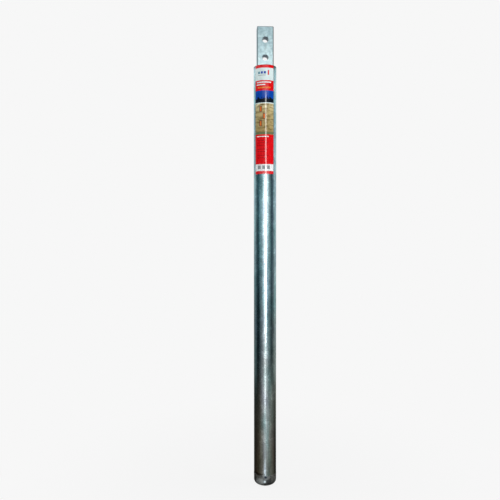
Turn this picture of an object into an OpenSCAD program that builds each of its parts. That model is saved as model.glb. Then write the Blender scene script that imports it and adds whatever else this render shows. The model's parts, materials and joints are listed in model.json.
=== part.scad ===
// Earth electrode of the strip-in-pipe kind: a galvanised steel pipe, closed below by a dished cap,
// with a thick flat conductor inside it that comes out of the mouth as a two-hole terminal.
// The origin is the lowest point of the cap, on the axis. +Z runs up the electrode, and the
// terminal's face and the label look toward -Y.

/* [Pipe] */
// Outside diameter of the pipe
pipe_od = 48.3; // [48:0.1:60]
// Thickness of the pipe's wall
pipe_wall = 2.9; // [2.3:0.1:3]
// Height of the pipe's rim above the lowest point of the cap
rim_z = 900; // [500:1:2900]
// Break of the two edges of the rim
rim_break = 0.5; // [0.2:0.1:0.8]

/* [Bottom cap] */
// Height of the dished end
dome_h = 13; // [12:0.5:16]
// Outside radius of the knuckle between the dished end and the skirt
knuckle_r = 9; // [5:0.5:11]
// Height of the straight skirt above the dished end
skirt_h = 12; // [8:1:30]
// Thickness of the cap's wall
cap_wall = 3; // [2.3:0.1:3.6]

/* [Butt weld of the cap] */
// Width of the V groove at the outside of the pipe
groove_w = 4; // [3:0.2:6]
// Height of the square root face at the bottom of the groove
root_face = 0.8; // [0.5:0.1:1.2]
// Width of the bead that covers the groove
bead_w = 5.6; // [4:0.2:8]
// How far the dressed bead stands proud of the pipe
bead_proud = 0.2; // [0.1:0.05:0.3]

/* [Conductor strip] */
// Width of the strip
strip_w = 35; // [25:0.5:35]
// Thickness of the strip
strip_t = 20; // [6:0.5:20]
// Radius of the rolled edges and of the top corners
strip_edge_r = 2; // [1.5:0.1:2.8]
// Height of the terminal above the rim
terminal_h = 84; // [80:1:120]
// Height of the strip's lower end
strip_foot_z = 45; // [32:1:60]

/* [Terminal holes] */
// Diameter of the two bolt holes
hole_d = 13; // [9:0.5:16]
// Distance between the two holes
hole_pitch = 37.5; // [30:0.5:45]
// Distance from the terminal's top edge to the upper hole
hole_edge = 28; // [15:1:28]
// Width of the chamfer around each hole
hole_chamfer = 0.4; // [0.3:0.1:1.2]

/* [Mouth] */
// Depth of the closing plate's top face below the rim
mouth_depth = 2.4; // [2:0.1:6]
// Thickness of the closing plate
top_plate_t = 5; // [3:0.5:8]
// Leg of the fillet weld around the rim
rim_leg = 1.6; // [1:0.1:1.6]
// Leg of the fillet weld around the strip
strip_leg = 2.4; // [1:0.1:3]

/* [Inside] */
// Thickness of the locating plate
locating_t = 4; // [2:0.5:6]
// Height of the locating plate's lower face
locating_z = 60; // [50:1:120]
// Radius of the two filling notches in the locating plate
notch_r = 9; // [5:0.5:10]
// Empty height that the settled filling leaves under the closing plate
headroom = 9; // [4:1:40]

/* [Label] */
// Thickness of the printed film
film_t = 0.15; // [0.1:0.05:0.25]
// Angle that the film wraps
film_wrap = 102; // [60:1:180]
// Turn of the film's middle from the terminal's face, toward -X
film_turn = 9; // [0:0.5:30]
// Radius of the film's four corners
film_corner_r = 2; // [1:0.5:4]

/* [Hidden] */
$fn = 96;

// Overlap that lets a cutter run clear through what it cuts
cut = 1;

// Radii of the pipe and heights along it
outer_r = pipe_od / 2;
bore_r = outer_r - pipe_wall;
joint_z = dome_h + skirt_h;
top_z = rim_z + terminal_h;

// The crown's radius makes its arc tangent to the knuckle's
crown_r = (pow(outer_r - knuckle_r, 2) + pow(dome_h, 2) - pow(knuckle_r, 2))
        / (2 * (dome_h - knuckle_r));

// The bead's arc passes through both edges of the bead and stands proud in the middle
bead_arc_r = (pow(bead_w / 2, 2) + pow(bead_proud, 2)) / (2 * bead_proud);

plate_top_z = rim_z - mouth_depth;
plate_foot_z = plate_top_z - top_plate_t;
rim_rise = min(rim_leg, mouth_depth - rim_break);
upper_hole_z = top_z - hole_edge;
lower_hole_z = upper_hole_z - hole_pitch;
filling_top_z = plate_foot_z - headroom;

// The notches lie where the strip leaves the most room
notch_y = strip_t / 2 + notch_r + 1.5;

// Fields of the label from its top edge down: height and colour
film_fields = [
    [6, "#c8232c"],
    [25.7, "#e4e9ec"],
    [21.2, "#c8232c"],
    [16.5, "#2a63b0"],
    [7.6, "#16233f"],
    [2.7, "#e4e9ec"],
    [64.2, "#b98a5e"],
    [61.4, "#c8232c"],
    [14.4, "#e4e9ec"],
    [6.7, "#c8232c"],
];

function total(list, count, i = 0) = i >= count ? 0 : list[i][0] + total(list, count, i + 1);

film_h = total(film_fields, len(film_fields));
film_top_z = rim_z - rim_break;
film_chord = 2 * (outer_r + film_t) * sin(film_wrap / 2);
film_lap = 0.1;

// Half of a dished end as a section, grown inward by the thickness taken off
module dish_section(inset) {
    knuckle_x = outer_r - knuckle_r;
    reach = crown_r * 2;
    lean = [knuckle_x, dome_h - crown_r] / norm([knuckle_x, dome_h - crown_r]);
    intersection() {
        translate([0, inset - cut])
            square([outer_r - inset, joint_z + cut - inset]);
        union() {
            translate([0, dome_h])
                square([outer_r - inset, joint_z - dome_h]);
            translate([knuckle_x, dome_h])
                circle(r = knuckle_r - inset);
            intersection() {
                translate([0, crown_r])
                    circle(r = crown_r - inset);
                polygon([[0, crown_r], [0, crown_r] + lean * reach, [0, -reach]]);
            }
        }
    }
}

// Section of the groove between two bevelled edges, wider than the wall by the cutter's overlap
module groove_section() {
    inner = bore_r + root_face;
    slope = groove_w / 2 / (outer_r - inner);
    polygon([
        [inner, joint_z],
        [outer_r + cut, joint_z - groove_w / 2 - slope * cut],
        [outer_r + cut, joint_z + groove_w / 2 + slope * cut],
    ]);
}

// Cross-section of the rolled strip, with its four edges rounded
module rounded_rect(w, h, r) {
    square([w - 2 * r, h], center = true);
    square([w, h - 2 * r], center = true);
    for (x = [-1, 1], y = [-1, 1])
        translate([x * (w / 2 - r), y * (h / 2 - r)])
            circle(r = r);
}

// A side view of the strip, with only its top corners rounded
module topped_bar(w) {
    height = top_z - strip_foot_z;
    translate([-w / 2, 0])
        square([w, height - strip_edge_r]);
    translate([-w / 2 + strip_edge_r, 0])
        square([w - 2 * strip_edge_r, height]);
    for (x = [-1, 1])
        translate([x * (w / 2 - strip_edge_r), height - strip_edge_r])
            circle(r = strip_edge_r);
}

// The strip's whole outline in a cross-section, as tall as asked
module strip_prism(z, height) {
    translate([0, 0, z])
        linear_extrude(height = height)
            rounded_rect(strip_w, strip_t, strip_edge_r);
}

// A bolt hole with both its edges chamfered
module bolt_hole(z) {
    translate([0, 0, z])
        rotate([90, 0, 0]) {
            cylinder(h = strip_t + 2 * cut, d = hole_d, center = true);
            for (side = [0, 1])
                mirror([0, 0, side])
                    translate([0, 0, strip_t / 2 - hole_chamfer])
                        cylinder(h = hole_chamfer + cut, d1 = hole_d,
                                 d2 = hole_d + 2 * (hole_chamfer + cut));
        }
}

// The pipe, bevelled below for the weld and cut square above
module outer_pipe() {
    color("#8fa5a8")
        rotate_extrude()
            difference() {
                polygon([
                    [bore_r, joint_z],
                    [outer_r, joint_z],
                    [outer_r, rim_z - rim_break],
                    [outer_r - rim_break, rim_z],
                    [bore_r + rim_break, rim_z],
                    [bore_r, rim_z - rim_break],
                ]);
                groove_section();
            }
}

// The pressed end: a shallow crown, a tight knuckle and a short skirt, all of one thickness
module bottom_cap() {
    color("#6b6a66")
        rotate_extrude()
            difference() {
                dish_section(0);
                dish_section(cap_wall);
                groove_section();
            }
}

// The bead fills the groove and is ground back almost flush
module bottom_weld() {
    color("#55534e")
        rotate_extrude()
            intersection() {
                union() {
                    groove_section();
                    translate([outer_r, joint_z - bead_w / 2])
                        square([cut, bead_w]);
                }
                translate([outer_r + bead_proud - bead_arc_r, joint_z])
                    circle(r = bead_arc_r);
            }
}

// A slotted disc inside the mouth holds the strip in the middle of the pipe
module top_plate() {
    color("#7d8b8d")
        difference() {
            translate([0, 0, plate_foot_z])
                cylinder(h = top_plate_t, r = bore_r);
            strip_prism(plate_foot_z - cut, top_plate_t + 2 * cut);
        }
}

// The fillet between the closing plate and the inside of the mouth
module top_rim_weld() {
    color("#5d5f5e")
        translate([0, 0, plate_top_z])
            rim_fillet();
}

// The rim's fillet, standing on the plane of the closing plate's top face
module rim_fillet() {
    rotate_extrude()
        polygon([[bore_r - rim_leg, 0], [bore_r, 0], [bore_r, rim_rise]]);
}

// The flat conductor: one bar from the terminal down to the foot, with its two holes
module conductor_strip() {
    color("#a9c0c4")
        difference() {
            intersection() {
                strip_prism(strip_foot_z, top_z - strip_foot_z);
                translate([0, strip_t, strip_foot_z])
                    rotate([90, 0, 0])
                        linear_extrude(height = 2 * strip_t)
                            topped_bar(strip_w);
                translate([-strip_w, 0, strip_foot_z])
                    rotate([90, 0, 90])
                        linear_extrude(height = 2 * strip_w)
                            topped_bar(strip_t);
            }
            bolt_hole(upper_hole_z);
            bolt_hole(lower_hole_z);
        }
}

// The fillet where the strip passes the closing plate, in the room that the rim's fillet leaves
module strip_weld() {
    color("#5d5f5e")
        translate([0, 0, plate_top_z])
            intersection() {
                difference() {
                    strip_fillet();
                    strip_prism(-cut, strip_leg + 2 * cut);
                    rim_fillet();
                }
                cylinder(h = strip_leg, r = bore_r);
            }
}

// Four straight runs of fillet and the four corners that join them
module strip_fillet() {
    flat_w = strip_w - 2 * strip_edge_r;
    flat_t = strip_t - 2 * strip_edge_r;
    for (turn = [0, 180])
        rotate([0, 0, turn]) {
            weld_run(flat_w, strip_t / 2);
            rotate([0, 0, 90])
                weld_run(flat_t, strip_w / 2);
        }
    for (x = [-1, 1], y = [-1, 1])
        translate([x * flat_w / 2, y * flat_t / 2, 0])
            cylinder(h = strip_leg, r1 = strip_edge_r + strip_leg, r2 = strip_edge_r);
}

// A straight run of fillet, on a face that lies this far out along -Y
module weld_run(length, face) {
    translate([length / 2, -face, 0])
        rotate([90, 0, -90])
            linear_extrude(height = length)
                polygon([[0, 0], [strip_leg, 0], [0, strip_leg]]);
}

// A notched disc near the foot centres the strip and lets the filling past
module locating_plate() {
    color("#7d8b8d")
        difference() {
            translate([0, 0, locating_z])
                cylinder(h = locating_t, r = bore_r);
            strip_prism(locating_z - cut, locating_t + 2 * cut);
            for (side = [-1, 1])
                translate([0, side * notch_y, locating_z - cut])
                    cylinder(h = locating_t + 2 * cut, r = notch_r);
        }
}

// The packed conductive compound, in all the room that the strip and locating plate leave
module conductive_filling() {
    color("#34332f")
        difference() {
            union() {
                rotate_extrude()
                    dish_section(cap_wall);
                translate([0, 0, joint_z])
                    cylinder(h = filling_top_z - joint_z, r = bore_r);
            }
            strip_prism(strip_foot_z, filling_top_z - strip_foot_z + cut);
            locating_plate();
        }
}

// One printed film on the pipe, from the rim's edge break down, in stacked fields of colour
module label() {
    intersection() {
        for (i = [0 : len(film_fields) - 1])
            film_field(i);
        translate([0, 0, film_top_z - film_h / 2])
            rotate([90, 0, -film_turn])
                linear_extrude(height = 2 * outer_r)
                    rounded_rect(film_chord, film_h, film_corner_r);
    }
}

// One field, which runs a little way under the field above it
module film_field(i) {
    lap = i == 0 ? 0 : film_lap;
    color(film_fields[i][1])
        translate([0, 0, film_top_z - total(film_fields, i + 1)])
            rotate_extrude(angle = film_wrap, start = 270 - film_turn - film_wrap / 2)
                translate([outer_r, 0])
                    square([film_t, film_fields[i][0] + lap]);
}

outer_pipe();
bottom_cap();
bottom_weld();
top_plate();
top_rim_weld();
conductor_strip();
strip_weld();
locating_plate();
conductive_filling();
label();
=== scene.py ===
import json
import math

import bpy
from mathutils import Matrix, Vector, noise


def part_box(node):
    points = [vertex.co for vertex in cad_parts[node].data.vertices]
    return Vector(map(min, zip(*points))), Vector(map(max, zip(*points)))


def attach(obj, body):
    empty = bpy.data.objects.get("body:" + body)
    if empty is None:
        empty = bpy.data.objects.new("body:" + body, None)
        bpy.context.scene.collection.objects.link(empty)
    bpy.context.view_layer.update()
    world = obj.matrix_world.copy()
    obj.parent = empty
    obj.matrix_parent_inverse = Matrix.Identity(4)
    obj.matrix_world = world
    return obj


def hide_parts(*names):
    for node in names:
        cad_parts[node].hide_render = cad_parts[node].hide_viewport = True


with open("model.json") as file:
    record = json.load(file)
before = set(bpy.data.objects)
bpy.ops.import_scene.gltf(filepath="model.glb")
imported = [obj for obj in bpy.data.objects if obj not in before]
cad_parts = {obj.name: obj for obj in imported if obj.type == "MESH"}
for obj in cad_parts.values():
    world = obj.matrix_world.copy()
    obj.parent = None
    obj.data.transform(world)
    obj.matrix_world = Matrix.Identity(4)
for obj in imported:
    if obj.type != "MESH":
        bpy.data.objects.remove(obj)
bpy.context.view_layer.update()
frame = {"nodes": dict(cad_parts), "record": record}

# Camera. The electrode stands upright. The camera is a little over a metre away and about half way
# up it, a few degrees to the left of the terminal's face, and tipped slightly down.
VIEW_AZIMUTH = math.radians(-5)
VIEW_DISTANCE = 1.1415
VIEW_HEIGHT = 0.5549
TILT_DEG, ROLL_DEG, TURN_DEG = 2.139, 0.065, -3.379
SENSOR_MM, LENS_MM = 36, 38.16


def around(radius, turn, height):
    """The point at this distance from the pipe's axis, turned to the right from the front."""
    return Vector((radius * math.sin(turn), -radius * math.cos(turn), height))


camera_data = bpy.data.cameras.new("photo_camera")
camera_data.sensor_width = SENSOR_MM
camera_data.lens = LENS_MM
camera_data.clip_end = 30
camera = bpy.data.objects.new("photo_camera", camera_data)
bpy.context.scene.collection.objects.link(camera)
camera.location = around(VIEW_DISTANCE, VIEW_AZIMUTH, VIEW_HEIGHT)
camera.rotation_euler = (math.radians(90 - TILT_DEG), math.radians(ROLL_DEG), math.radians(TURN_DEG))
bpy.context.scene.camera = camera
bpy.context.scene.view_settings.view_transform = "Standard"


# Studio. A matt white floor runs out into a plain pale surround, which the metal mirrors too. A tall
# soft light stands in front and a soft fill at each side. Cards stand round the pipe as well, which
# only the metal sees, and give it its bright and dark lines.
SURROUND = "#f7f7f7"
AMBIENT = 0.37
FLOOR_R = 5
SHADOW_NEAR, SHADOW_FAR, SHADOW_SHARE = 0.05, 0.6, 0.06


def srgb(colour):
    """Turns an sRGB hex colour to linear red, green, blue and alpha."""
    channels = [int(colour[i:i + 2], 16) / 255 for i in (1, 3, 5)]
    return [c / 12.92 if c <= 0.04045 else ((c + 0.055) / 1.055) ** 2.4 for c in channels] + [1]


def add_node(tree, kind, inputs=None, **settings):
    """Adds a node, sets it up, and gives each named input its value or its link."""
    node = tree.nodes.new("ShaderNode" + kind)
    for name, value in settings.items():
        setattr(node, name, value)
    for name, value in (inputs or {}).items():
        if isinstance(value, bpy.types.NodeSocket):
            tree.links.new(value, node.inputs[name])
        else:
            node.inputs[name].default_value = value
    return node


def seen_plain(tree):
    """A mask that is 1 for what the camera, a mirror or glass sees, and 0 for what lights the object."""
    rays = add_node(tree, "LightPath").outputs
    seen = rays["Is Camera Ray"]
    for kind in ("Is Glossy Ray", "Is Transmission Ray"):
        seen = add_node(tree, "Math", {0: seen, 1: rays[kind]}, operation="MAXIMUM").outputs[0]
    return seen


world = bpy.data.worlds.new("studio_surround")
bpy.context.scene.world = world
world.use_nodes = True
tree = world.node_tree
tree.nodes.clear()
ambient = add_node(tree, "Background", {"Color": srgb("#ffffff"), "Strength": AMBIENT})
backdrop = add_node(tree, "Background", {"Color": srgb(SURROUND), "Strength": 1})
mixed = add_node(tree, "MixShader", {0: seen_plain(tree), 1: ambient.outputs[0], 2: backdrop.outputs[0]})
add_node(tree, "OutputWorld", {"Surface": mixed.outputs[0]})


def new_material(name):
    """Starts an empty material and returns it with its node tree."""
    material = bpy.data.materials.new(name)
    material.use_nodes = True
    material.node_tree.nodes.clear()
    return material, material.node_tree


bpy.ops.object.select_all(action="DESELECT")
bpy.ops.mesh.primitive_circle_add(vertices=96, radius=FLOOR_R, fill_type="NGON")
floor = bpy.context.object
floor.name = "floor"
# Matt paper, which shows the soft shadow near the object and is as plain as the surround further out
material, tree = new_material("matt_white_paper")
place = add_node(tree, "TexCoord").outputs["Object"]
reach = add_node(tree, "VectorMath", {0: place}, operation="LENGTH").outputs["Value"]
lift = add_node(tree, "MapRange", {"Value": reach, "From Min": SHADOW_NEAR, "From Max": SHADOW_FAR,
                                   "To Min": 1 - SHADOW_SHARE}, interpolation_type="SMOOTHSTEP")
plain = add_node(tree, "Math", {0: lift.outputs[0], 1: seen_plain(tree)}, operation="MULTIPLY")
paper = add_node(tree, "BsdfDiffuse", {"Color": srgb(SURROUND)})
surround = add_node(tree, "Emission", {"Color": srgb(SURROUND), "Strength": 1})
mixed = add_node(tree, "MixShader", {0: plain.outputs[0], 1: paper.outputs[0], 2: surround.outputs[0]})
add_node(tree, "OutputMaterial", {"Surface": mixed.outputs[0]})
floor.data.materials.append(material)


def add_softbox(name, turn, distance, height, width, tall, strength):
    """A soft light that faces the pipe's axis, turned from the camera by an angle in degrees."""
    azimuth = VIEW_AZIMUTH + math.radians(turn)
    data = bpy.data.lights.new(name, "AREA")
    data.shape = "RECTANGLE"
    data.size = width
    data.size_y = tall
    data.energy = strength * math.pi * data.size * data.size_y
    light = bpy.data.objects.new(name, data)
    bpy.context.scene.collection.objects.link(light)
    light.location = around(distance, azimuth, height)
    light.rotation_euler = (math.radians(90), 0, azimuth)
    return light


# The tall key stands in front, a little to the right of the camera. The fills are for paint and print.
add_softbox("key_softbox", turn=8, distance=1.5, height=0.62, width=0.36, tall=1.2, strength=5.2)
fill = add_softbox("right_fill", turn=75, distance=1.5, height=0.75, width=0.8, tall=1.4, strength=3.3)
fill.visible_glossy = False
fill = add_softbox("left_fill", turn=-68, distance=1.1, height=1.05, width=0.6, tall=0.6, strength=2.2)
fill.visible_glossy = fill.visible_camera = False


def set_ramp(ramp, stops, interpolation="LINEAR"):
    """Gives a colour ramp its stops, each a position and a colour."""
    ramp.color_ramp.interpolation = interpolation
    while len(ramp.color_ramp.elements) > 1:
        ramp.color_ramp.elements.remove(ramp.color_ramp.elements[-1])
    ramp.color_ramp.elements[0].position = stops[0][0]
    ramp.color_ramp.elements[0].color = srgb(stops[0][1])
    for position, colour in stops[1:]:
        ramp.color_ramp.elements.new(position).color = srgb(colour)


def add_card(name, near, far, blend, near_tones, far_tones=None, strength=1):
    """A card bent round the pipe's axis, which only the metal sees. Near and far are its two edges,
    each a radius and a height. A tone is an angle from the camera in degrees, and a colour. The card
    passes from its near tones to its far ones over the part of its depth that blend gives."""
    first, last = near_tones[0][0], near_tones[-1][0]
    steps = 72
    points, faces, corners = [], [], []
    for i in range(steps + 1):
        turn = VIEW_AZIMUTH + math.radians(first + (last - first) * i / steps)
        points += [around(r, turn, z) for r, z in (near, far)]
    for i in range(steps):
        faces.append((2 * i, 2 * i + 1, 2 * i + 3, 2 * i + 2))
        corners += [(i / steps, 0), (i / steps, 1), ((i + 1) / steps, 1), ((i + 1) / steps, 0)]
    mesh = bpy.data.meshes.new(name)
    mesh.from_pydata(points, [], faces)
    layout = mesh.uv_layers.new(name="tones")
    for loop, corner in zip(layout.data, corners):
        loop.uv = corner
    card = bpy.data.objects.new(name, mesh)
    bpy.context.scene.collection.objects.link(card)
    material, tree = new_material(name + "_paint")
    laid = add_node(tree, "SeparateXYZ", {0: add_node(tree, "UVMap").outputs[0]})
    painted = []
    for tones in (near_tones, far_tones or near_tones):
        ramp = add_node(tree, "ValToRGB", {0: laid.outputs["X"]})
        set_ramp(ramp, [((angle - first) / (last - first), colour) for angle, colour in tones])
        painted.append(ramp.outputs["Color"])
    depth = add_node(tree, "MapRange", {"Value": laid.outputs["Y"], "From Min": blend[0],
                                        "From Max": blend[1]})
    tone = add_node(tree, "MixRGB", {"Fac": depth.outputs[0], "Color1": painted[0], "Color2": painted[1]})
    glow = add_node(tree, "Emission", {"Color": tone.outputs[0], "Strength": strength})
    add_node(tree, "OutputMaterial", {"Surface": glow.outputs[0]})
    mesh.materials.append(material)
    card.visible_camera = card.visible_diffuse = card.visible_shadow = False


SIDE_R, SIDE_MID, SIDE_TOP = 0.8, 0.77, 1.4
FRONT_R, FRONT_MID, FRONT_TOP = 1.6, 0.86, 1.24
CARD_FOOT = 0.004

# Beside the bare pipe: dark at the sides for its two dark lines, and pale behind for its bright edges
add_card("left_card", (SIDE_R, CARD_FOOT), (SIDE_R, SIDE_MID), (0.33, 0.8), [
    (-165, "#a8aca8"), (-102, "#647880"), (-88, "#283840"), (-73, "#04161c"), (-61, "#203840"),
    (-50, "#50646c"), (-26, "#b8c4c8"),
], [
    (-165, "#f4f8f8"), (-130, "#e4f0f0"), (-112, "#b4ced0"), (-90, "#5c767c"), (-73, "#30545c"),
    (-62, "#608890"), (-52, "#a0c4ca"), (-38, "#a8c4ca"), (-26, "#dcecf0"),
])
add_card("right_card", (SIDE_R, CARD_FOOT), (SIDE_R, SIDE_MID), (0.33, 0.8), [
    (36, "#8caab0"), (56, "#6c7c80"), (68, "#384c50"), (81, "#586064"), (96, "#869090"),
    (112, "#bccac8"), (134, "#cad2ce"), (165, "#a8aca8"),
], [
    (36, "#f8ffff"), (41, "#c0d4d4"), (57, "#8aa2a6"), (68, "#445864"), (82, "#667480"),
    (96, "#9aacb2"), (112, "#d4e6e6"), (130, "#e6f2f2"), (165, "#f4f8f8"),
])

# Beside the label the cards are darker, so that the print keeps its depth. Above it the left one is
# pale again for the terminal, and the right one stays dark.
UPPER_GREY = "#5c6263"
add_card("left_upper_card", (SIDE_R, SIDE_MID), (SIDE_R, SIDE_TOP), (0.44, 0.56), [
    (-165, "#f3f7f7"), (-130, "#e5f1f2"), (-112, "#93a4a8"), (-90, "#404c50"), (-73, "#283034"),
    (-52, "#4a5254"), (-26, UPPER_GREY),
], [
    (-165, "#f3f7f7"), (-130, "#f3f7f7"), (-112, "#e8f2f4"), (-90, "#c4ced2"), (-73, "#b0babd"),
    (-52, "#a0aaac"), (-26, UPPER_GREY),
])
add_card("right_upper_card", (SIDE_R, SIDE_MID), (SIDE_R, SIDE_TOP), (0.5, 0.6), [
    (36, UPPER_GREY), (57, "#4a5254"), (75, "#283034"), (88, "#404c50"), (102, "#c6d6da"),
    (112, "#e4f2f5"), (130, "#f7ffff"), (165, "#f7ffff"),
], [
    (36, UPPER_GREY), (57, "#3a4244"), (75, "#1f2629"), (96, "#30393c"), (112, "#707c7e"),
    (130, "#a7b3b3"), (165, "#f3f7f7"),
])
add_card("front_upper_card", (FRONT_R, FRONT_MID), (FRONT_R, FRONT_TOP), (0, 0.1), [
    (-26, UPPER_GREY), (36, UPPER_GREY),
])

# A bright cloth in front gives the bare pipe its main white line, wide above and narrow below
add_card("front_diffuser", (FRONT_R, CARD_FOOT), (FRONT_R, FRONT_MID), (0.3, 0.95), [
    (-26, "#747c84"), (-15, "#9cacb4"), (-7, "#dedede"), (4, "#dedede"), (13, "#98b4c2"),
    (24, "#788c98"), (36, "#5a6e72"),
], [
    (-26, "#acb8b8"), (-17, "#f8f8f8"), (-7, "#ffffff"), (18, "#ffffff"), (25, "#f4f6f6"),
    (36, "#b8bcbc"),
], strength=2.6)

# Low down the pipe mirrors a dark table, which is pale in front. A darker ring lies under and around
# the dish, and two bright strips carry the white line on to the foot, all three just above the table.
TABLE_Z, STRIP_Z, FOOT_Z = 0.003, 0.0032, 0.0034
add_card("dark_table_card", (0.03, TABLE_Z), (2.2, TABLE_Z), (0.08, 0.27), [
    (-165, "#7c7c78"), (-140, "#404038"), (-120, "#282218"), (-87, "#40362c"), (-61, "#504636"),
    (-28, "#8e8880"), (-17, "#a8aaac"), (3, "#e8f4ff"), (24, "#b8bec2"), (45, "#908e88"),
    (85, "#685c54"), (112, "#201810"), (140, "#404038"), (165, "#7c7c78"),
], [
    (-165, "#7c7c78"), (-140, "#404040"), (-120, "#302e28"), (-87, "#343430"), (-61, "#505048"),
    (-45, "#706c68"), (-17, "#bcc0cc"), (-6, "#f4f8ff"), (6, "#f4f8ff"), (24, "#acb8c0"),
    (45, "#94a2a2"), (62, "#a2aca8"), (78, "#929894"), (98, "#646862"), (112, "#585c54"),
    (140, "#7c7c70"), (165, "#888880"),
], strength=1.5)
add_card("foot_shadow_card", (0.012, FOOT_Z), (0.055, FOOT_Z), (0.35, 1), [
    (-165, "#101110"), (165, "#101110"),
], [
    (-165, "#2b2c2a"), (-30, "#2b2c2a"), (0, "#7c8082"), (30, "#2b2c2a"), (165, "#2b2c2a"),
])
add_card("lower_highlight_card", (0.5, STRIP_Z), (0.9, STRIP_Z), (0.1, 0.4), [
    (-6, "#7c8084"), (-2, "#8c94a0"), (2, "#8c94a0"), (6, "#7c8084"),
], [
    (-6, "#7c8084"), (-2, "#f4f8ff"), (2, "#f4f8ff"), (6, "#7c8084"),
], strength=7)
add_card("foot_highlight_card", (0.07, FOOT_Z), (0.17, FOOT_Z), (0.4, 1), [
    (-6, "#6c7078"), (-3, "#d0e0f0"), (2, "#d0e0f0"), (5, "#6c7078"), (13, "#5a5e60"),
    (24, "#4a4c4c"), (34, "#464644"), (45, "#585856"),
], [
    (-6, "#7c8088"), (-3, "#949ca4"), (2, "#949ca4"), (5, "#7c8088"), (13, "#74787a"),
    (24, "#606262"), (34, "#585856"), (45, "#545450"),
], strength=5)


# The outer pipe: drawn and welded steel tube, 48.3 mm across with a 2.9 mm wall, hot-dip galvanised.
# Its rim is cut square with the edges broken, and its foot is bevelled for the butt weld of the cap.
pipe_low, pipe_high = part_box("outer_pipe")
PIPE_R = pipe_high.x
PIPE_WALL = 0.0029
PIPE_SIDES = 128
RIM_BREAK = 0.0005
GROOVE_HALF = 0.002
HOLLOW, SLOW_HOLLOW, QUICK_HOLLOW = 0.000055, 0.00004, 0.000015
RING_SLACK = 0.0002
SMOOTH_UNDER = math.radians(32)


def pipe_hollow(point):
    """How far the rolled wall lies inside its true circle at a point, never more than 0.11 mm."""
    # Slow waves are 40 mm wide and 80 mm long, and quick ones 17 mm wide and 30 mm long
    slow = noise.noise(Vector((point.x * 26, point.y * 26, point.z * 12)))
    quick = noise.noise(Vector((point.x * 60, point.y * 60, point.z * 34)) + Vector((9, 4, 2)))
    return HOLLOW + SLOW_HOLLOW * slow + QUICK_HOLLOW * quick


def apply_modifier(piece, kind, **settings):
    """Adds a modifier to a piece, sets it up and applies it."""
    bpy.context.view_layer.objects.active = piece
    bpy.ops.object.modifier_add(type=kind)
    modifier = piece.modifiers[-1]
    for name, value in settings.items():
        setattr(modifier, name, value)
    bpy.ops.object.modifier_apply(modifier=modifier.name)


def pick_edges(piece, wanted):
    """Selects the edges whose two ends pass a test, and nothing else, then opens edit mode."""
    bpy.ops.object.mode_set(mode="EDIT")
    bpy.ops.mesh.select_mode(type="EDGE")
    bpy.ops.mesh.select_all(action="DESELECT")
    bpy.ops.object.mode_set(mode="OBJECT")
    points = piece.data.vertices
    for edge in piece.data.edges:
        edge.select = wanted(points[edge.vertices[0]].co, points[edge.vertices[1]].co)
    bpy.ops.object.mode_set(mode="EDIT")


def bevel_edges(piece, wanted, offset, segments):
    """Bevels the edges whose two ends pass a test."""
    pick_edges(piece, wanted)
    bpy.ops.mesh.bevel(offset=offset, segments=segments)
    bpy.ops.object.mode_set(mode="OBJECT")


def on_ring(a, b, r, z):
    """True for an edge of the ring of this radius at this height."""
    return all(abs(math.hypot(p.x, p.y) - r) < RING_SLACK and abs(p.z - z) < RING_SLACK for p in (a, b))


def add_tube(name, foot, head, sides, cuts):
    """An open tube of the pipe's radius, with its long edges cut into short ones."""
    bpy.ops.object.select_all(action="DESELECT")
    bpy.ops.mesh.primitive_cylinder_add(vertices=sides, radius=PIPE_R, depth=head - foot,
                                        end_fill_type="NOTHING", location=(0, 0, (foot + head) / 2))
    tube = bpy.context.object
    tube.name = tube.data.name = name
    bpy.ops.object.transform_apply(location=True, rotation=True, scale=True)
    pick_edges(tube, lambda a, b: abs(a.z - b.z) > 0.5 * (head - foot))
    bpy.ops.mesh.subdivide(number_cuts=cuts)
    bpy.ops.object.mode_set(mode="OBJECT")
    return tube


def swell_tube(tube, rise):
    """Moves each point of a tube outwards from the axis by its rise, or inwards where that is negative."""
    for vertex in tube.data.vertices:
        here = vertex.co
        share = 1 + rise(here) / PIPE_R
        vertex.co = Vector((here.x * share, here.y * share, here.z))


def finish_piece(piece, material, node):
    """Shades a piece, gives it its finish, and sets it in the place of its node."""
    bpy.ops.object.select_all(action="DESELECT")
    piece.select_set(True)
    bpy.context.view_layer.objects.active = piece
    bpy.ops.object.shade_smooth_by_angle(angle=SMOOTH_UNDER)
    piece.data.materials.clear()
    piece.data.materials.append(material)
    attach(piece, "root")
    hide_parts(node)


pipe = add_tube("pipe_shell", pipe_low.z, pipe_high.z, sides=PIPE_SIDES, cuts=99)
swell_tube(pipe, lambda point: -pipe_hollow(point))
apply_modifier(pipe, "SOLIDIFY", thickness=PIPE_WALL, offset=-1)
# Both edges of the rim are broken, and the outer edge of the foot is bevelled
bevel_edges(pipe, lambda a, b: min(a.z, b.z) > pipe_high.z - 0.0001
            and abs(math.hypot(a.x, a.y) - math.hypot(b.x, b.y)) < 0.0005, RIM_BREAK, 3)
bevel_edges(pipe, lambda a, b: on_ring(a, b, PIPE_R, pipe_low.z), GROOVE_HALF, 1)


def close_material(tree, sockets, relief=None, strength=0.0, depth=0.0002):
    """Ends a material with its shader, and gives it a fine relief where it has one."""
    if relief:
        bump = add_node(tree, "Bump", {"Height": relief, "Strength": strength, "Distance": depth})
        sockets["Normal"] = bump.outputs["Normal"]
    shader = add_node(tree, "BsdfPrincipled", sockets)
    add_node(tree, "OutputMaterial", {"Surface": shader.outputs[0]})


# Hot-dip zinc on tube: a hard blue-grey metal, wiped smooth at the top, where it mirrors the room in
# long clean lines, and duller, darker and browner toward the foot.
material, tree = new_material("hot_dip_zinc_on_tube")
place = add_node(tree, "TexCoord").outputs["Object"]
spot = add_node(tree, "SeparateXYZ", {0: place})
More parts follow.
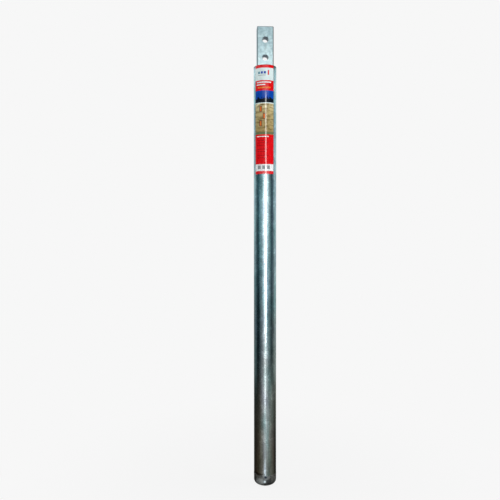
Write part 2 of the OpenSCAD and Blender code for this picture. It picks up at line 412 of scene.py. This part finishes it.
# Patches 45 mm across move the border between bright and dull up and down
cloud = add_node(tree, "TexNoise", {"Vector": place, "Scale": 22, "Detail": 3, "Roughness": 0.55})
wander = add_node(tree, "MapRange", {"Value": cloud.outputs["Fac"], "From Min": 0.3, "From Max": 0.7,
                                     "To Min": -0.03, "To Max": 0.03})
height = add_node(tree, "Math", {0: spot.outputs["Z"], 1: wander.outputs[0]}, operation="ADD")
ramp = add_node(tree, "ValToRGB", {0: height.outputs[0]})
set_ramp(ramp, [(0.0, "#8b8c86"), (0.12, "#949894"), (0.28, "#9da29f"), (0.42, "#a3b4b8"),
                (0.8, "#a8bfc4"), (0.88, "#c8e0e6")])
# Spangle: zinc crystals about 9 mm across, drawn out along the tube, each a little lighter or darker
stretch = add_node(tree, "Mapping", {"Vector": place, "Scale": (110, 110, 62)})
spangle = add_node(tree, "TexVoronoi", {"Vector": stretch.outputs[0], "Scale": 1.0})
tint = add_node(tree, "SeparateColor", {0: spangle.outputs["Color"]})
crystal = add_node(tree, "MapRange", {"Value": tint.outputs[0], "To Min": 0.84, "To Max": 1.14})
# Wipe marks: streaks 3 mm wide and 60 mm long, left as the tube is drawn out of the bath
drawn = add_node(tree, "Mapping", {"Vector": place, "Scale": (330, 330, 16)})
streak = add_node(tree, "TexNoise", {"Vector": drawn.outputs[0], "Scale": 1.0, "Detail": 4})
wiped = add_node(tree, "MapRange", {"Value": streak.outputs["Fac"], "From Min": 0.3, "From Max": 0.7,
                                    "To Min": 0.76, "To Max": 1.16})
# Specks of dross 2 mm across
grain = add_node(tree, "TexNoise", {"Vector": place, "Scale": 420, "Detail": 3})
speck = add_node(tree, "MapRange", {"Value": grain.outputs["Fac"], "From Min": 0.35, "From Max": 0.65,
                                    "To Min": 0.86, "To Max": 1.14})
# Paler blotches 10 mm across, where the zinc froze thick
froze = add_node(tree, "TexNoise", {"Vector": place, "Scale": 105, "Detail": 3})
froze = add_node(tree, "MapRange", {"Value": froze.outputs["Fac"], "From Min": 0.56, "From Max": 0.64,
                                    "To Min": 1.0, "To Max": 1.24})
shade = crystal
for layer in (wiped, speck, froze):
    shade = add_node(tree, "Math", {0: shade.outputs[0], 1: layer.outputs[0]}, operation="MULTIPLY")
# Patches 17 mm wide and 70 mm long lean to green or to violet, as the zinc's own colour does
drift = add_node(tree, "Mapping", {"Vector": place, "Scale": (60, 60, 14)})
drift = add_node(tree, "TexNoise", {"Vector": drift.outputs[0], "Scale": 1.0, "Detail": 2})
hue = add_node(tree, "ValToRGB", {0: drift.outputs["Fac"]})
set_ramp(hue, [(0.32, "#efedf8"), (0.5, "#ffffff"), (0.68, "#e0f6f6")])
zinc = ramp
for layer in (shade, hue):
    zinc = add_node(tree, "MixRGB", {"Fac": 1.0, "Color1": zinc.outputs[0], "Color2": layer.outputs[0]},
                    blend_type="MULTIPLY")
# The last 3 mm below the rim are painted dark, as painted shade along its broken edge
rim_shade = add_node(tree, "MapRange", {"Value": spot.outputs["Z"], "From Min": pipe_high.z - 0.0036,
                                   "From Max": pipe_high.z - 0.0026})
# Low down, the cap's zinc paint ends just over the weld in a ragged edge, with teeth 8 mm wide, and
# the zinc above that is scorched brown at the left
seam_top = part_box("bottom_weld")[1].z
edge = add_node(tree, "TexNoise", {"Vector": place, "Scale": 120, "Detail": 3})
ragged = add_node(tree, "MapRange", {"Value": edge.outputs["Fac"], "To Min": -0.005, "To Max": 0.005})
ragged = add_node(tree, "Math", {0: spot.outputs["Z"], 1: ragged.outputs[0]}, operation="ADD")
scorch = add_node(tree, "Math", {0: ragged.outputs[0], 1: seam_top + 0.003, 2: 0.0026}, operation="COMPARE")
side = add_node(tree, "MapRange", {"Value": spot.outputs["X"], "From Min": -0.005, "From Max": -0.01})
scorch = add_node(tree, "Math", {0: scorch.outputs[0], 1: side.outputs[0]}, operation="MULTIPLY")
lapped = add_node(tree, "MapRange", {"Value": ragged.outputs[0], "From Min": seam_top + 0.0008,
                                     "From Max": seam_top})
for mask, colour in ((rim_shade, "#525c60"), (scorch, "#565450"), (lapped, "#868988")):
    zinc = add_node(tree, "MixRGB", {"Fac": mask.outputs[0], "Color1": zinc.outputs[0],
                                     "Color2": srgb(colour)})
# The zinc is smoother higher up, and the paint is duller than the zinc
dull = add_node(tree, "MapRange", {"Value": height.outputs[0], "From Min": 0.0, "From Max": 0.28,
                                   "To Min": 0.27, "To Max": 0.19})
rough = add_node(tree, "MapRange", {"Value": cloud.outputs["Fac"], "From Min": 0.3, "From Max": 0.75,
                                    "To Min": -0.03, "To Max": 0.06})
rough = add_node(tree, "Math", {0: dull.outputs[0], 1: rough.outputs[0]}, operation="ADD")
rough = add_node(tree, "MapRange", {"Value": lapped.outputs[0], "To Min": rough.outputs[0], "To Max": 0.4})
metal = add_node(tree, "MapRange", {"Value": lapped.outputs[0], "To Min": 1.0, "To Max": 0.75})
relief = add_node(tree, "Math", {0: grain.outputs["Fac"], 1: streak.outputs["Fac"]}, operation="ADD")
close_material(tree, {
    "Base Color": zinc.outputs[0], "Metallic": metal.outputs[0], "Roughness": rough.outputs[0],
    "Specular Tint": srgb("#e6f0f2"),
}, relief=relief.outputs[0], strength=0.12)
finish_piece(pipe, material, "outer_pipe")


# The bottom cap: a dished end pressed from 3 mm plate, shallow with a tight knuckle and a short skirt.
# It stands on the ground, so it is knocked and scuffed, and has a small nick in its front edge.
cap_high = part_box("bottom_cap")[1]
CAP_WALL = 0.003
DOME_H = 0.013
KNUCKLE_R = 0.009
CROWN_R = ((PIPE_R - KNUCKLE_R) ** 2 + DOME_H ** 2 - KNUCKLE_R ** 2) / (2 * (DOME_H - KNUCKLE_R))
CROWN_REACH = CROWN_R * (PIPE_R - KNUCKLE_R) / (CROWN_R - KNUCKLE_R)
TRUE_SKIRT = 0.004
KNOCK_DEPTH = 0.00012
NICK_AT, NICK_R, NICK_DEPTH = Vector((0.0085, -0.0155, 0.0037)), 0.0024, 0.0007
# The point on the axis towards which the wall is knocked in
KNOCKED_TO = Vector((0, 0, 0.02))


def dish_height(r):
    """Height of the dished end's outside at a distance from the axis."""
    if r <= CROWN_REACH:
        return CROWN_R - math.sqrt(CROWN_R ** 2 - r ** 2)
    out = min(r - (PIPE_R - KNUCKLE_R), KNUCKLE_R)
    return DOME_H - math.sqrt(KNUCKLE_R ** 2 - out ** 2)


def cap_wear(point):
    """How far knocks 5 mm across and the nick have driven the surface in at a point."""
    knocks = KNOCK_DEPTH * max(0, noise.noise(point * 210) + 0.1)
    nick = (point - NICK_AT).length
    return knocks + NICK_DEPTH * max(0, 1 - (nick / NICK_R) ** 2)


cap = add_tube("dished_cap", DOME_H, cap_high.z, sides=PIPE_SIDES, cuts=6)
pick_edges(cap, lambda a, b: on_ring(a, b, PIPE_R, DOME_H))
# The bottom ring is drawn in, step by step: round the knuckle, then over the crown to the middle
radii = [PIPE_R - KNUCKLE_R + KNUCKLE_R * math.sin(math.radians(a)) for a in range(81, 18, -9)]
radii += [0.017, 0.0145, 0.0125, 0.0105, 0.0085, 0.0065, 0.0045, 0.0025, 0.001]
before = PIPE_R
for r in radii:
    bpy.ops.mesh.extrude_region_move()
    bpy.ops.transform.resize(value=(r / before, r / before, 1))
    bpy.ops.transform.translate(value=(0, 0, dish_height(r) - dish_height(before)))
    before = r
bpy.ops.mesh.merge(type="CENTER")
bpy.ops.mesh.select_all(action="SELECT")
bpy.ops.mesh.normals_make_consistent(inside=False)
bpy.ops.object.mode_set(mode="OBJECT")
# The middle of the dish is set flat on the ground. The last of the skirt is left true for the weld.
for vertex in cap.data.vertices:
    if vertex.co.z < 0.0001:
        vertex.co.z = 0
    elif vertex.co.z < cap_high.z - TRUE_SKIRT:
        vertex.co += (KNOCKED_TO - vertex.co).normalized() * cap_wear(vertex.co)
apply_modifier(cap, "SOLIDIFY", thickness=CAP_WALL, offset=-1)
bevel_edges(cap, lambda a, b: on_ring(a, b, PIPE_R, cap_high.z), GROOVE_HALF, 1)


def round_mark(tree, place, centre, inner, outer):
    """A mask for a round mark: 1 within its inner radius, and 0 outside its outer one."""
    reach = add_node(tree, "VectorMath", {0: place, 1: centre}, operation="DISTANCE").outputs["Value"]
    return add_node(tree, "MapRange", {"Value": reach, "From Min": outer, "From Max": inner})


# Pressed steel under cold zinc paint: a soft grey sheen, clouded by handling in patches 8 mm across
material, tree = new_material("zinc_painted_pressing")
place = add_node(tree, "TexCoord").outputs["Object"]
spot = add_node(tree, "SeparateXYZ", {0: place})
cloud = add_node(tree, "TexNoise", {"Vector": place, "Scale": 130, "Detail": 4, "Roughness": 0.6})
ramp = add_node(tree, "ValToRGB", {0: cloud.outputs["Fac"]})
set_ramp(ramp, [(0.34, "#4d4c48"), (0.5, "#777774"), (0.66, "#a9adad")])
# Rubbed pale on its left front, with painted shade in a dark patch right of the middle, a painted
# highlight in one bright spot left of that, and dark painted shade where it meets the ground
rubbed = round_mark(tree, place, centre=(-0.013, -0.02, 0.014), inner=0.005, outer=0.012)
front_shade = round_mark(tree, place, centre=(0.005, -0.024, 0.015), inner=0.004, outer=0.009)
painted_glint = round_mark(tree, place, centre=(-0.0028, -0.024, 0.0155), inner=0.0018, outer=0.0032)
ground_shade = add_node(tree, "MapRange", {"Value": spot.outputs["Z"], "From Min": 0.0065, "From Max": 0.0035})
tone = ramp
for mask, colour in ((rubbed, "#c2c8c8"), (front_shade, "#4c4e4e"), (painted_glint, "#dfe8e8"), (ground_shade, "#2b2c2a")):
    tone = add_node(tree, "MixRGB", {"Fac": mask.outputs[0], "Color1": tone.outputs[0],
                                     "Color2": srgb(colour)})
# Scuffs 2 mm across
scuff = add_node(tree, "TexNoise", {"Vector": place, "Scale": 600, "Detail": 3})
rough = add_node(tree, "MapRange", {"Value": cloud.outputs["Fac"], "To Min": 0.3, "To Max": 0.5})
close_material(tree, {"Base Color": tone.outputs[0], "Metallic": 0.75, "Roughness": rough.outputs[0]},
               relief=scuff.outputs["Fac"], strength=0.25)
finish_piece(cap, material, "bottom_cap")


# The butt weld: one run of arc weld that fills the V between pipe and cap, ground back almost flush,
# so that only the last of its ripples show. The cap's zinc paint is brushed over it.
bead_low, bead_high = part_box("bottom_weld")
BEAD_PROUD = 0.0002
BEAD_SUNK = 0.00003
RIPPLE, RIPPLE_CURVE, RIPPLE_SHARE = 0.0016, 0.7, 0.3
ROOT_FACE = 0.0008
ROOT_R = PIPE_R - PIPE_WALL + ROOT_FACE
bead_z = (bead_low.z + bead_high.z) / 2
bead_half = (bead_high.z - bead_low.z) / 2


def bead_rise(point):
    """How far the bead stands proud of the pipe at a point: most in its middle, in curved ripples."""
    across = (point.z - bead_z) / bead_half
    along = math.atan2(point.x, -point.y) * PIPE_R
    wave = 0.5 + 0.5 * math.sin(2 * math.pi * (along / RIPPLE + RIPPLE_CURVE * across ** 2))
    return BEAD_PROUD * (1 - across ** 2) * (1 - RIPPLE_SHARE + RIPPLE_SHARE * wave) - BEAD_SUNK


bead = add_tube("cap_weld", bead_low.z, bead_high.z, sides=288, cuts=9)
swell_tube(bead, bead_rise)
# Both ends are drawn in to the root of the V, where they meet
for end in (bead_low.z, bead_high.z):
    pick_edges(bead, lambda a, b: abs(a.z - end) < 0.00001 and abs(b.z - end) < 0.00001)
    bpy.ops.mesh.extrude_region_move()
    bpy.ops.transform.resize(value=(ROOT_R / PIPE_R, ROOT_R / PIPE_R, 1))
    bpy.ops.transform.translate(value=(0, 0, bead_z - end))
    bpy.ops.object.mode_set(mode="OBJECT")
bpy.ops.object.mode_set(mode="EDIT")
bpy.ops.mesh.select_all(action="SELECT")
bpy.ops.mesh.remove_doubles(threshold=0.00005)
bpy.ops.mesh.normals_make_consistent(inside=False)
bpy.ops.object.mode_set(mode="OBJECT")

# Weld steel under cold zinc paint: grey, thin and dark in patches 7 mm across, half bright on the
# ripples. In the middle of the front one dark spot is painted shade, where the weld breaks the bright line.
weld_material, tree = new_material("zinc_painted_weld_steel")
place = add_node(tree, "TexCoord").outputs["Object"]
cover = add_node(tree, "TexNoise", {"Vector": place, "Scale": 140, "Detail": 4})
ramp = add_node(tree, "ValToRGB", {0: cover.outputs["Fac"]})
set_ramp(ramp, [(0.36, "#5f6162"), (0.48, "#7b7d7c"), (0.6, "#8e8f8b")])
# A dark spot of painted shade in the middle of the front
weld_shade_spot = round_mark(tree, place, centre=(-0.001, -0.024, 0.0255), inner=0.0018, outer=0.0038)
tone = add_node(tree, "MixRGB", {"Fac": weld_shade_spot.outputs[0], "Color1": ramp.outputs["Color"],
                                 "Color2": srgb("#262c36")})
# Spatter 1 mm across
spatter = add_node(tree, "TexNoise", {"Vector": place, "Scale": 900, "Detail": 2})
close_material(tree, {"Base Color": tone.outputs[0], "Metallic": 0.85, "Roughness": 0.42},
               relief=spatter.outputs["Fac"], strength=0.3)
finish_piece(bead, weld_material, "bottom_weld")


# The conductor strip: one rolled steel bar, 35 by 20 mm with rounded edges, galvanised, from the foot
# of the pipe up through the closing plate. Its top is the terminal, drilled for two 12 mm bolts.
bar_low, bar_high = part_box("conductor_strip")
EDGE_R = 0.002
HOLE_R = 0.0065
HOLE_CHAMFER = 0.0004
HOLE_SLACK = 0.00002
holes = next(m for m in frame["record"]["mounts"] if m["name"] == "terminal_holes")
hole_heights = [holes["pos_m"][2] + side * holes["dims"]["spacing_y_mm"] / 2000 for side in (1, -1)]


def on_hole_edge(point):
    """True for a point on the sharp edge of a hole, on either face of the bar."""
    from_face = abs(abs(point.y) - bar_high.y)
    from_hole = min(abs(math.hypot(point.x, point.z - z) - HOLE_R) for z in hole_heights)
    return from_face < HOLE_SLACK and from_hole < HOLE_SLACK


bpy.ops.object.select_all(action="DESELECT")
bpy.ops.mesh.primitive_cube_add(size=1, location=(bar_low + bar_high) / 2)
bar = bpy.context.object
bar.name = bar.data.name = "terminal_bar"
bar.scale = bar_high - bar_low
bpy.ops.object.transform_apply(location=True, rotation=True, scale=True)
bevel_edges(bar, lambda a, b: max(a.z, b.z) > bar_high.z - 0.001, EDGE_R, 8)
for z in hole_heights:
    bpy.ops.object.select_all(action="DESELECT")
    bpy.ops.mesh.primitive_cylinder_add(vertices=96, radius=HOLE_R, depth=0.03, location=(0, 0, z),
                                        rotation=(math.radians(90), 0, 0))
    drill = bpy.context.object
    bpy.ops.object.transform_apply(location=True, rotation=True, scale=True)
    apply_modifier(bar, "BOOLEAN", operation="DIFFERENCE", object=drill, solver="EXACT")
    bpy.data.objects.remove(drill)
bevel_edges(bar, lambda a, b: on_hole_edge(a) and on_hole_edge(b), HOLE_CHAMFER, 2)

# Hot-dip zinc on bar: thicker and paler than on the tube, mottled in soft patches 14 mm across, and
# painted paler toward the pipe and darker toward its top, as painted shade
material, tree = new_material("hot_dip_zinc_on_bar")
place = add_node(tree, "TexCoord").outputs["Object"]
spot = add_node(tree, "SeparateXYZ", {0: place})
cloud = add_node(tree, "TexNoise", {"Vector": place, "Scale": 70, "Detail": 4, "Roughness": 0.6})
# Painted shade: the face is darker toward its top and paler toward the pipe
lift = add_node(tree, "MapRange", {"Value": spot.outputs["Z"], "From Min": bar_high.z,
                                   "From Max": pipe_high.z, "To Min": -0.14, "To Max": 0.14})
tone = add_node(tree, "Math", {0: cloud.outputs["Fac"], 1: lift.outputs[0]}, operation="ADD")
ramp = add_node(tree, "ValToRGB", {0: tone.outputs[0]})
set_ramp(ramp, [(0.25, "#93abb2"), (0.42, "#9eb6bc"), (0.55, "#aec5c9"), (0.75, "#bed3d5")])
# Specks 4 mm across, where the zinc froze in small crystals
frost = add_node(tree, "TexNoise", {"Vector": place, "Scale": 260, "Detail": 2})
frost = add_node(tree, "MapRange", {"Value": frost.outputs["Fac"], "From Min": 0.35, "From Max": 0.65,
                                    "To Min": 0.86, "To Max": 1.1})
face = add_node(tree, "MixRGB", {"Fac": 1.0, "Color1": ramp.outputs["Color"], "Color2": frost.outputs[0]},
                blend_type="MULTIPLY")
# The rolled sides and the cut top are painted greyer and darker, and darker to the right, as painted shade
# on the rounded edges
side = add_node(tree, "Math", {0: spot.outputs["X"]}, operation="ABSOLUTE")
side = add_node(tree, "MapRange", {"Value": side.outputs[0], "From Min": bar_high.x - 0.0025,
                                   "From Max": bar_high.x - 0.0013})
crown = add_node(tree, "MapRange", {"Value": spot.outputs["Z"], "From Min": bar_high.z - 0.002,
                                    "From Max": bar_high.z - 0.001})
side = add_node(tree, "Math", {0: side.outputs[0], 1: crown.outputs[0]}, operation="MAXIMUM")
turned = add_node(tree, "MapRange", {"Value": spot.outputs["X"], "From Min": 0.003 - bar_high.x,
                                     "From Max": bar_high.x - 0.003})
rolled = add_node(tree, "MixRGB", {"Fac": turned.outputs[0], "Color1": srgb("#93a3a9"),
                                   "Color2": srgb("#5c696e")})
zinc = add_node(tree, "MixRGB", {"Fac": side.outputs[0], "Color1": face.outputs[0],
                                 "Color2": rolled.outputs[0]})
# The walls of the drilled holes are painted dark, as painted shade inside them
flat = add_node(tree, "VectorMath", {0: place, 1: (1, 0, 1)}, operation="MULTIPLY")
for z in hole_heights:
    reach = add_node(tree, "VectorMath", {0: flat.outputs[0], 1: (0, 0, z)}, operation="DISTANCE")
    drilled = add_node(tree, "Math", {0: reach.outputs["Value"], 1: HOLE_R + 0.0001}, operation="LESS_THAN")
    zinc = add_node(tree, "MixRGB", {"Fac": drilled.outputs[0], "Color1": zinc.outputs[0],
                                     "Color2": srgb("#56535d")})
rough = add_node(tree, "MapRange", {"Value": cloud.outputs["Fac"], "To Min": 0.26, "To Max": 0.42})
# Pits 2 mm across
pits = add_node(tree, "TexNoise", {"Vector": place, "Scale": 500, "Detail": 3})
close_material(tree, {
    "Base Color": zinc.outputs[0], "Metallic": 1.0, "Roughness": rough.outputs[0],
    "Specular Tint": srgb("#d5e4e6"),
}, relief=pits.outputs["Fac"], strength=0.1)
finish_piece(bar, material, "conductor_strip")
apply_modifier(bar, "WEIGHTED_NORMAL", weight=100, keep_sharp=True)


# The closing plate and the locating plate: discs flame-cut from 5 and 4 mm plate, slotted for the
# bar. One is welded in the mouth just under the rim, the other sits on the bar near its foot.


def dress_nodes(material, *names):
    """Gives their finish to nodes that keep their CAD shape."""
    for name in names:
        frame["nodes"][name].data.materials.clear()
        frame["nodes"][name].data.materials.append(material)


# Hot-dip zinc on cut plate: a rougher, duller grey than on the tube, in patches 9 mm across, with a
# grain of 1.5 mm
material, tree = new_material("zinc_on_cut_plate")
place = add_node(tree, "TexCoord").outputs["Object"]
cloud = add_node(tree, "TexNoise", {"Vector": place, "Scale": 110, "Detail": 4})
ramp = add_node(tree, "ValToRGB", {0: cloud.outputs["Fac"]})
set_ramp(ramp, [(0.3, "#7c8a8c"), (0.5, "#97a5a7"), (0.7, "#a9b7b8")])
grain = add_node(tree, "TexNoise", {"Vector": place, "Scale": 700, "Detail": 3})
close_material(tree, {"Base Color": ramp.outputs["Color"], "Metallic": 1.0, "Roughness": 0.42},
               relief=grain.outputs["Fac"], strength=0.3)
dress_nodes(material, "top_plate", "locating_plate")


# The welds in the mouth: one fillet of steel round the rim and one round the bar, not ground back,
# under the same zinc paint as the butt weld.
dress_nodes(weld_material, "top_rim_weld", "strip_weld")


# The filling: conductive compound of graphite and clay, poured in round the bar and packed. It is a
# dull black crumb, with grit of 2 mm.
material, tree = new_material("packed_graphite_compound")
place = add_node(tree, "TexCoord").outputs["Object"]
grit = add_node(tree, "TexNoise", {"Vector": place, "Scale": 500, "Detail": 6, "Roughness": 0.7})
ramp = add_node(tree, "ValToRGB", {0: grit.outputs["Fac"]})
set_ramp(ramp, [(0.3, "#1b1b1a"), (0.55, "#2e2d2b"), (0.75, "#4a4844")])
close_material(tree, {"Base Color": ramp.outputs["Color"], "Roughness": 0.9},
               relief=grit.outputs["Fac"], strength=0.8, depth=0.001)
dress_nodes(material, "conductive_filling")


# The label: one printed vinyl film, 226 mm long, wrapped over 102 degrees of the pipe right below the
# rim, its middle a few degrees to the left of the terminal's face. It is pressed on by hand.
film_low, film_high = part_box("label")
FILM_T = 0.00015
FILM_TURN = math.radians(-9)
FILM_HALF_TURN = math.radians(51)
FILM_H = film_high.z - film_low.z
FILM_CORNER = 0.002
FILM_HALF_W = FILM_HALF_TURN * (PIPE_R + FILM_T)
FILM_COLUMNS, FILM_ROWS = 48, 120
# The film bridges the pipe's hollows in part
FILM_SINK = 0.6

bpy.ops.object.select_all(action="DESELECT")
bpy.ops.mesh.primitive_grid_add(x_subdivisions=FILM_COLUMNS, y_subdivisions=FILM_ROWS, size=1)
film = bpy.context.object
film.name = film.data.name = "printed_label"
# Rows near both ends lie close together, so that the round corners are smooth
ends = [0, 0.00008, 0.0003, 0.0006, 0.001, 0.0015, FILM_CORNER]
inner = FILM_ROWS + 1 - 2 * len(ends)
rows = sorted(ends + [FILM_H - d for d in ends] + [
    FILM_CORNER + (FILM_H - 2 * FILM_CORNER) * (i + 1) / (inner + 1) for i in range(inner)])
for vertex in film.data.vertices:
    row = rows[round((0.5 - vertex.co.y) * FILM_ROWS)]
    near = max(0, FILM_CORNER - min(row, FILM_H - row))
    half = FILM_HALF_W - FILM_CORNER + math.sqrt(FILM_CORNER ** 2 - near ** 2)
    turn = FILM_TURN + 2 * vertex.co.x * half / FILM_HALF_W * FILM_HALF_TURN
    sunk = FILM_SINK * pipe_hollow(around(PIPE_R, turn, film_high.z - row))
    vertex.co = around(PIPE_R - sunk, turn, film_high.z - row)
# The print is laid out on the film itself, in metres: across from its middle, and down from its top
layout = film.data.uv_layers.active.data
for loop in film.data.loops:
    here = film.data.vertices[loop.vertex_index].co
    layout[loop.index].uv = ((math.atan2(here.x, -here.y) - FILM_TURN) * PIPE_R, film_high.z - here.z)
apply_modifier(film, "SOLIDIFY", thickness=FILM_T, offset=1)

# Screen-printed gloss vinyl: flat inks in bands, under a clear coat that shows one sharp white line.
# A band is its top edge in millimetres, and its ink.
INKS = {"red": "#e40310", "pale": "#dff0f0", "blue": "#0046ae", "navy": "#06121f", "tan": "#b8a573",
        "white": "#f0f3f4", "orange": "#e8792b", "grey": "#8d9496", "dark_red": "#b00310",
        "brown": "#7d6b3f", "rim": "#4a3b3f", "teal": "#4d8ba0", "green": "#6d7550"}
TAN_TOP, TAN_FOOT = 79.7, 143.9
BANDS = [(0, "red"), (6, "pale"), (31.7, "red"), (52.9, "blue"), (69.4, "navy"), (77, "pale"),
         (TAN_TOP, "tan"), (TAN_FOOT, "red"), (205.3, "white"), (219.7, "red")]
# The blue runs down into the navy along a border between these two depths, in waves 5 mm wide
WAVE_TOP, WAVE_FOOT = 0.0645, 0.0725
NAVY_MIDDLE, NAVY_HALF = 0.0702, 0.0068

material, tree = new_material("printed_gloss_vinyl")
print_map = add_node(tree, "UVMap").outputs[0]
laid = add_node(tree, "SeparateXYZ", {0: print_map})
across, down = laid.outputs["X"], laid.outputs["Y"]
share = add_node(tree, "Math", {0: down, 1: FILM_H}, operation="DIVIDE")
bands = add_node(tree, "ValToRGB", {0: share.outputs[0]})
set_ramp(bands, [(top / 1000 / FILM_H, INKS[ink]) for top, ink in BANDS], "CONSTANT")
wave = add_node(tree, "TexNoise", {"Vector": print_map, "Scale": 190, "Detail": 3})
border = add_node(tree, "MapRange", {"Value": wave.outputs["Fac"], "From Min": 0.3, "From Max": 0.7,
                                     "To Min": WAVE_TOP, "To Max": WAVE_FOOT})
below = add_node(tree, "Math", {0: down, 1: border.outputs[0]}, operation="GREATER_THAN")
span = add_node(tree, "Math", {0: down, 1: NAVY_MIDDLE, 2: NAVY_HALF}, operation="COMPARE")
night = add_node(tree, "Math", {0: below.outputs[0], 1: span.outputs[0]}, operation="MULTIPLY")

# The tan band fades from sand to brown, and is drawn with soft strata 5 mm apart
span = add_node(tree, "Math", {0: down, 1: (TAN_TOP + TAN_FOOT) / 2000, 2: (TAN_FOOT - TAN_TOP) / 2000},
                operation="COMPARE")
fade = add_node(tree, "MapRange", {"Value": down, "From Min": TAN_TOP / 1000, "From Max": TAN_FOOT / 1000})
sand = add_node(tree, "ValToRGB", {0: fade.outputs[0]})
set_ramp(sand, [(0.02, "#e2d6aa"), (0.2, "#c9b985"), (0.45, "#c0ae7a"), (1.0, "#a68e58")])
earth = add_node(tree, "Mapping", {"Vector": print_map, "Scale": (60, 190, 1)})
strata = add_node(tree, "TexNoise", {"Vector": earth.outputs[0], "Scale": 1.0, "Detail": 5,
                                     "Roughness": 0.65})
patch = add_node(tree, "MapRange", {"Value": strata.outputs["Fac"], "From Min": 0.46, "From Max": 0.62})
drawn = add_node(tree, "Math", {0: patch.outputs[0], 1: span.outputs[0]}, operation="MULTIPLY")
# Over the bands go the navy below its border, the sand, and the strata in it
ink = bands
for mask, colour in ((night, srgb(INKS["navy"])), (span, sand.outputs[0]), (drawn, srgb(INKS["brown"]))):
    ink = add_node(tree, "MixRGB", {"Fac": mask.outputs[0], "Color1": ink.outputs[0], "Color2": colour})

# Plain bars and squares over the bands: left, right, top and foot in millimetres, and the ink
BLOCKS = [
    (-13.5, -9, 13.5, 18.4, "teal"), (-7.2, -2.7, 13.5, 18.4, "blue"), (-0.9, 3.6, 13.5, 18.4, "blue"),
    (7.4, 10.2, 11, 21, "red"), (-13.5, 3.6, 21, 22, "grey"),
    (-17, 15, 34.8, 37, "white"), (-17, 2, 39.8, 42, "white"), (-15, 14, 45.4, 48.2, "orange"),
    (-22, 22, 138.6, 143.9, "green"), (-17, 10, 147.4, 149.2, "white"),
]
for left, top in ((-10.5, 85), (-3, 100), (-10.5, 115)):
    BLOCKS.append((left, left + 6, top, top + 12, "rim"))
    BLOCKS.append((left + 1.3, left + 4.7, top + 1.2, top + 10.8, "orange"))
for right, top in ((4, 156), (9, 161), (0, 166), (7, 174), (3, 179), (10, 187), (5, 192)):
    BLOCKS.append((-16, right, top, top + 1.4, "dark_red"))
for left, right in ((-14.5, -7.5), (-4, 2), (6, 12)):
    BLOCKS.append((left, right, 208.8, 216.2, "grey"))
for left, right, top, foot, colour in BLOCKS:
    wide = add_node(tree, "Math", {0: across, 1: (left + right) / 2000, 2: (right - left) / 2000},
                    operation="COMPARE")
    tall = add_node(tree, "Math", {0: down, 1: (top + foot) / 2000, 2: (foot - top) / 2000},
                    operation="COMPARE")
    block = add_node(tree, "Math", {0: wide.outputs[0], 1: tall.outputs[0]}, operation="MULTIPLY")
    ink = add_node(tree, "MixRGB", {"Fac": block.outputs[0], "Color1": ink.outputs[0],
                                    "Color2": srgb(INKS[colour])})

# Handling has dulled the film in patches 14 mm across
handled = add_node(tree, "TexNoise", {"Vector": print_map, "Scale": 70, "Detail": 4})
rough = add_node(tree, "MapRange", {"Value": handled.outputs["Fac"], "To Min": 0.3, "To Max": 0.5})
close_material(tree, {
    "Base Color": ink.outputs[0], "Roughness": rough.outputs[0], "Specular IOR Level": 0.0,
    "Coat Weight": 1.0, "Coat Roughness": 0.07, "Coat IOR": 1.7,
})
finish_piece(film, material, "label")
